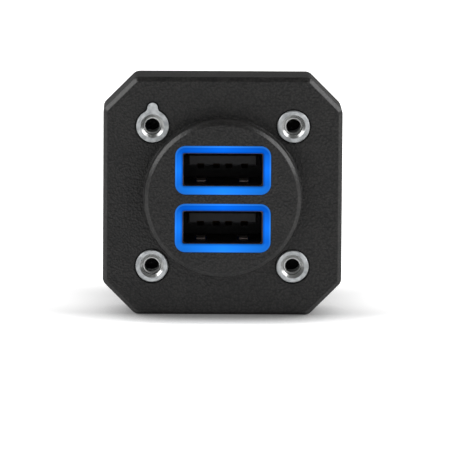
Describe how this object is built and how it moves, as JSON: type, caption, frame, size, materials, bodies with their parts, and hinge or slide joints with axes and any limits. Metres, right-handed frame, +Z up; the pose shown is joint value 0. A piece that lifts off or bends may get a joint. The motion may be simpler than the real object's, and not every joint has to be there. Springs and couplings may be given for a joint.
{
  "type": "dual usb socket",
  "caption": "Panel-mount vehicle socket with USB-A ports in lit blue surrounds on a round boss, a square front block with threaded inserts, and a rear housing with blade terminals.",
  "frame": {"origin": "centre of the insert pattern, on the front face of the block where the panel lies", "axes": "+Z up, -Y out of the ports towards the user, +X to the right seen from the front"},
  "size_m": [0.0382, 0.0481, 0.0382],
  "materials": {
    "bezel_plastic": "fine moulded grain",
    "ring_plastic": "translucent, lit blue",
    "insert_metal": "satin plating, bright turned mouth",
    "shell_steel": "stamped and plated sheet",
    "insulator_plastic": "moulded",
    "contact_metal": "plated, smooth",
    "board_laminate": "green coated laminate",
    "lamp_plastic": "clear lens",
    "chip_plastic": "moulded",
    "screw_steel": "zinc plated",
    "ferrite": "pressed and ground",
    "capacitor_aluminium": "drawn can, satin",
    "pad_silicone": "soft, dull",
    "housing_plastic": "fine moulded grain",
    "seal_rubber": "dull",
    "blade_metal": "tin plated"
  },
  "bodies": {
    "root": {"front_bezel": "bezel_plastic", "upper_light_ring": "ring_plastic", "lower_light_ring": "ring_plastic", "threaded_inserts": "insert_metal", "tabbed_insert": "insert_metal", "upper_port_shell": "shell_steel", "lower_port_shell": "shell_steel", "upper_port_insulator": "insulator_plastic", "lower_port_insulator": "insulator_plastic", "upper_port_contacts": "contact_metal", "lower_port_contacts": "contact_metal", "port_board": "board_laminate", "leds": "lamp_plastic", "charge_controllers": "chip_plastic", "board_screws": "screw_steel", "main_board": "board_laminate", "header_block": "insulator_plastic", "header_pins": "contact_metal", "power_inductor": "ferrite", "capacitors": "capacitor_aluminium", "converter_chips": "chip_plastic", "thermal_pad": "pad_silicone", "rear_housing": "housing_plastic", "housing_seal": "seal_rubber", "housing_screws": "screw_steel", "rear_cover": "housing_plastic", "cover_screws": "screw_steel", "supply_blade": "blade_metal", "ground_blade": "blade_metal"}
  },
  "joints": []
}
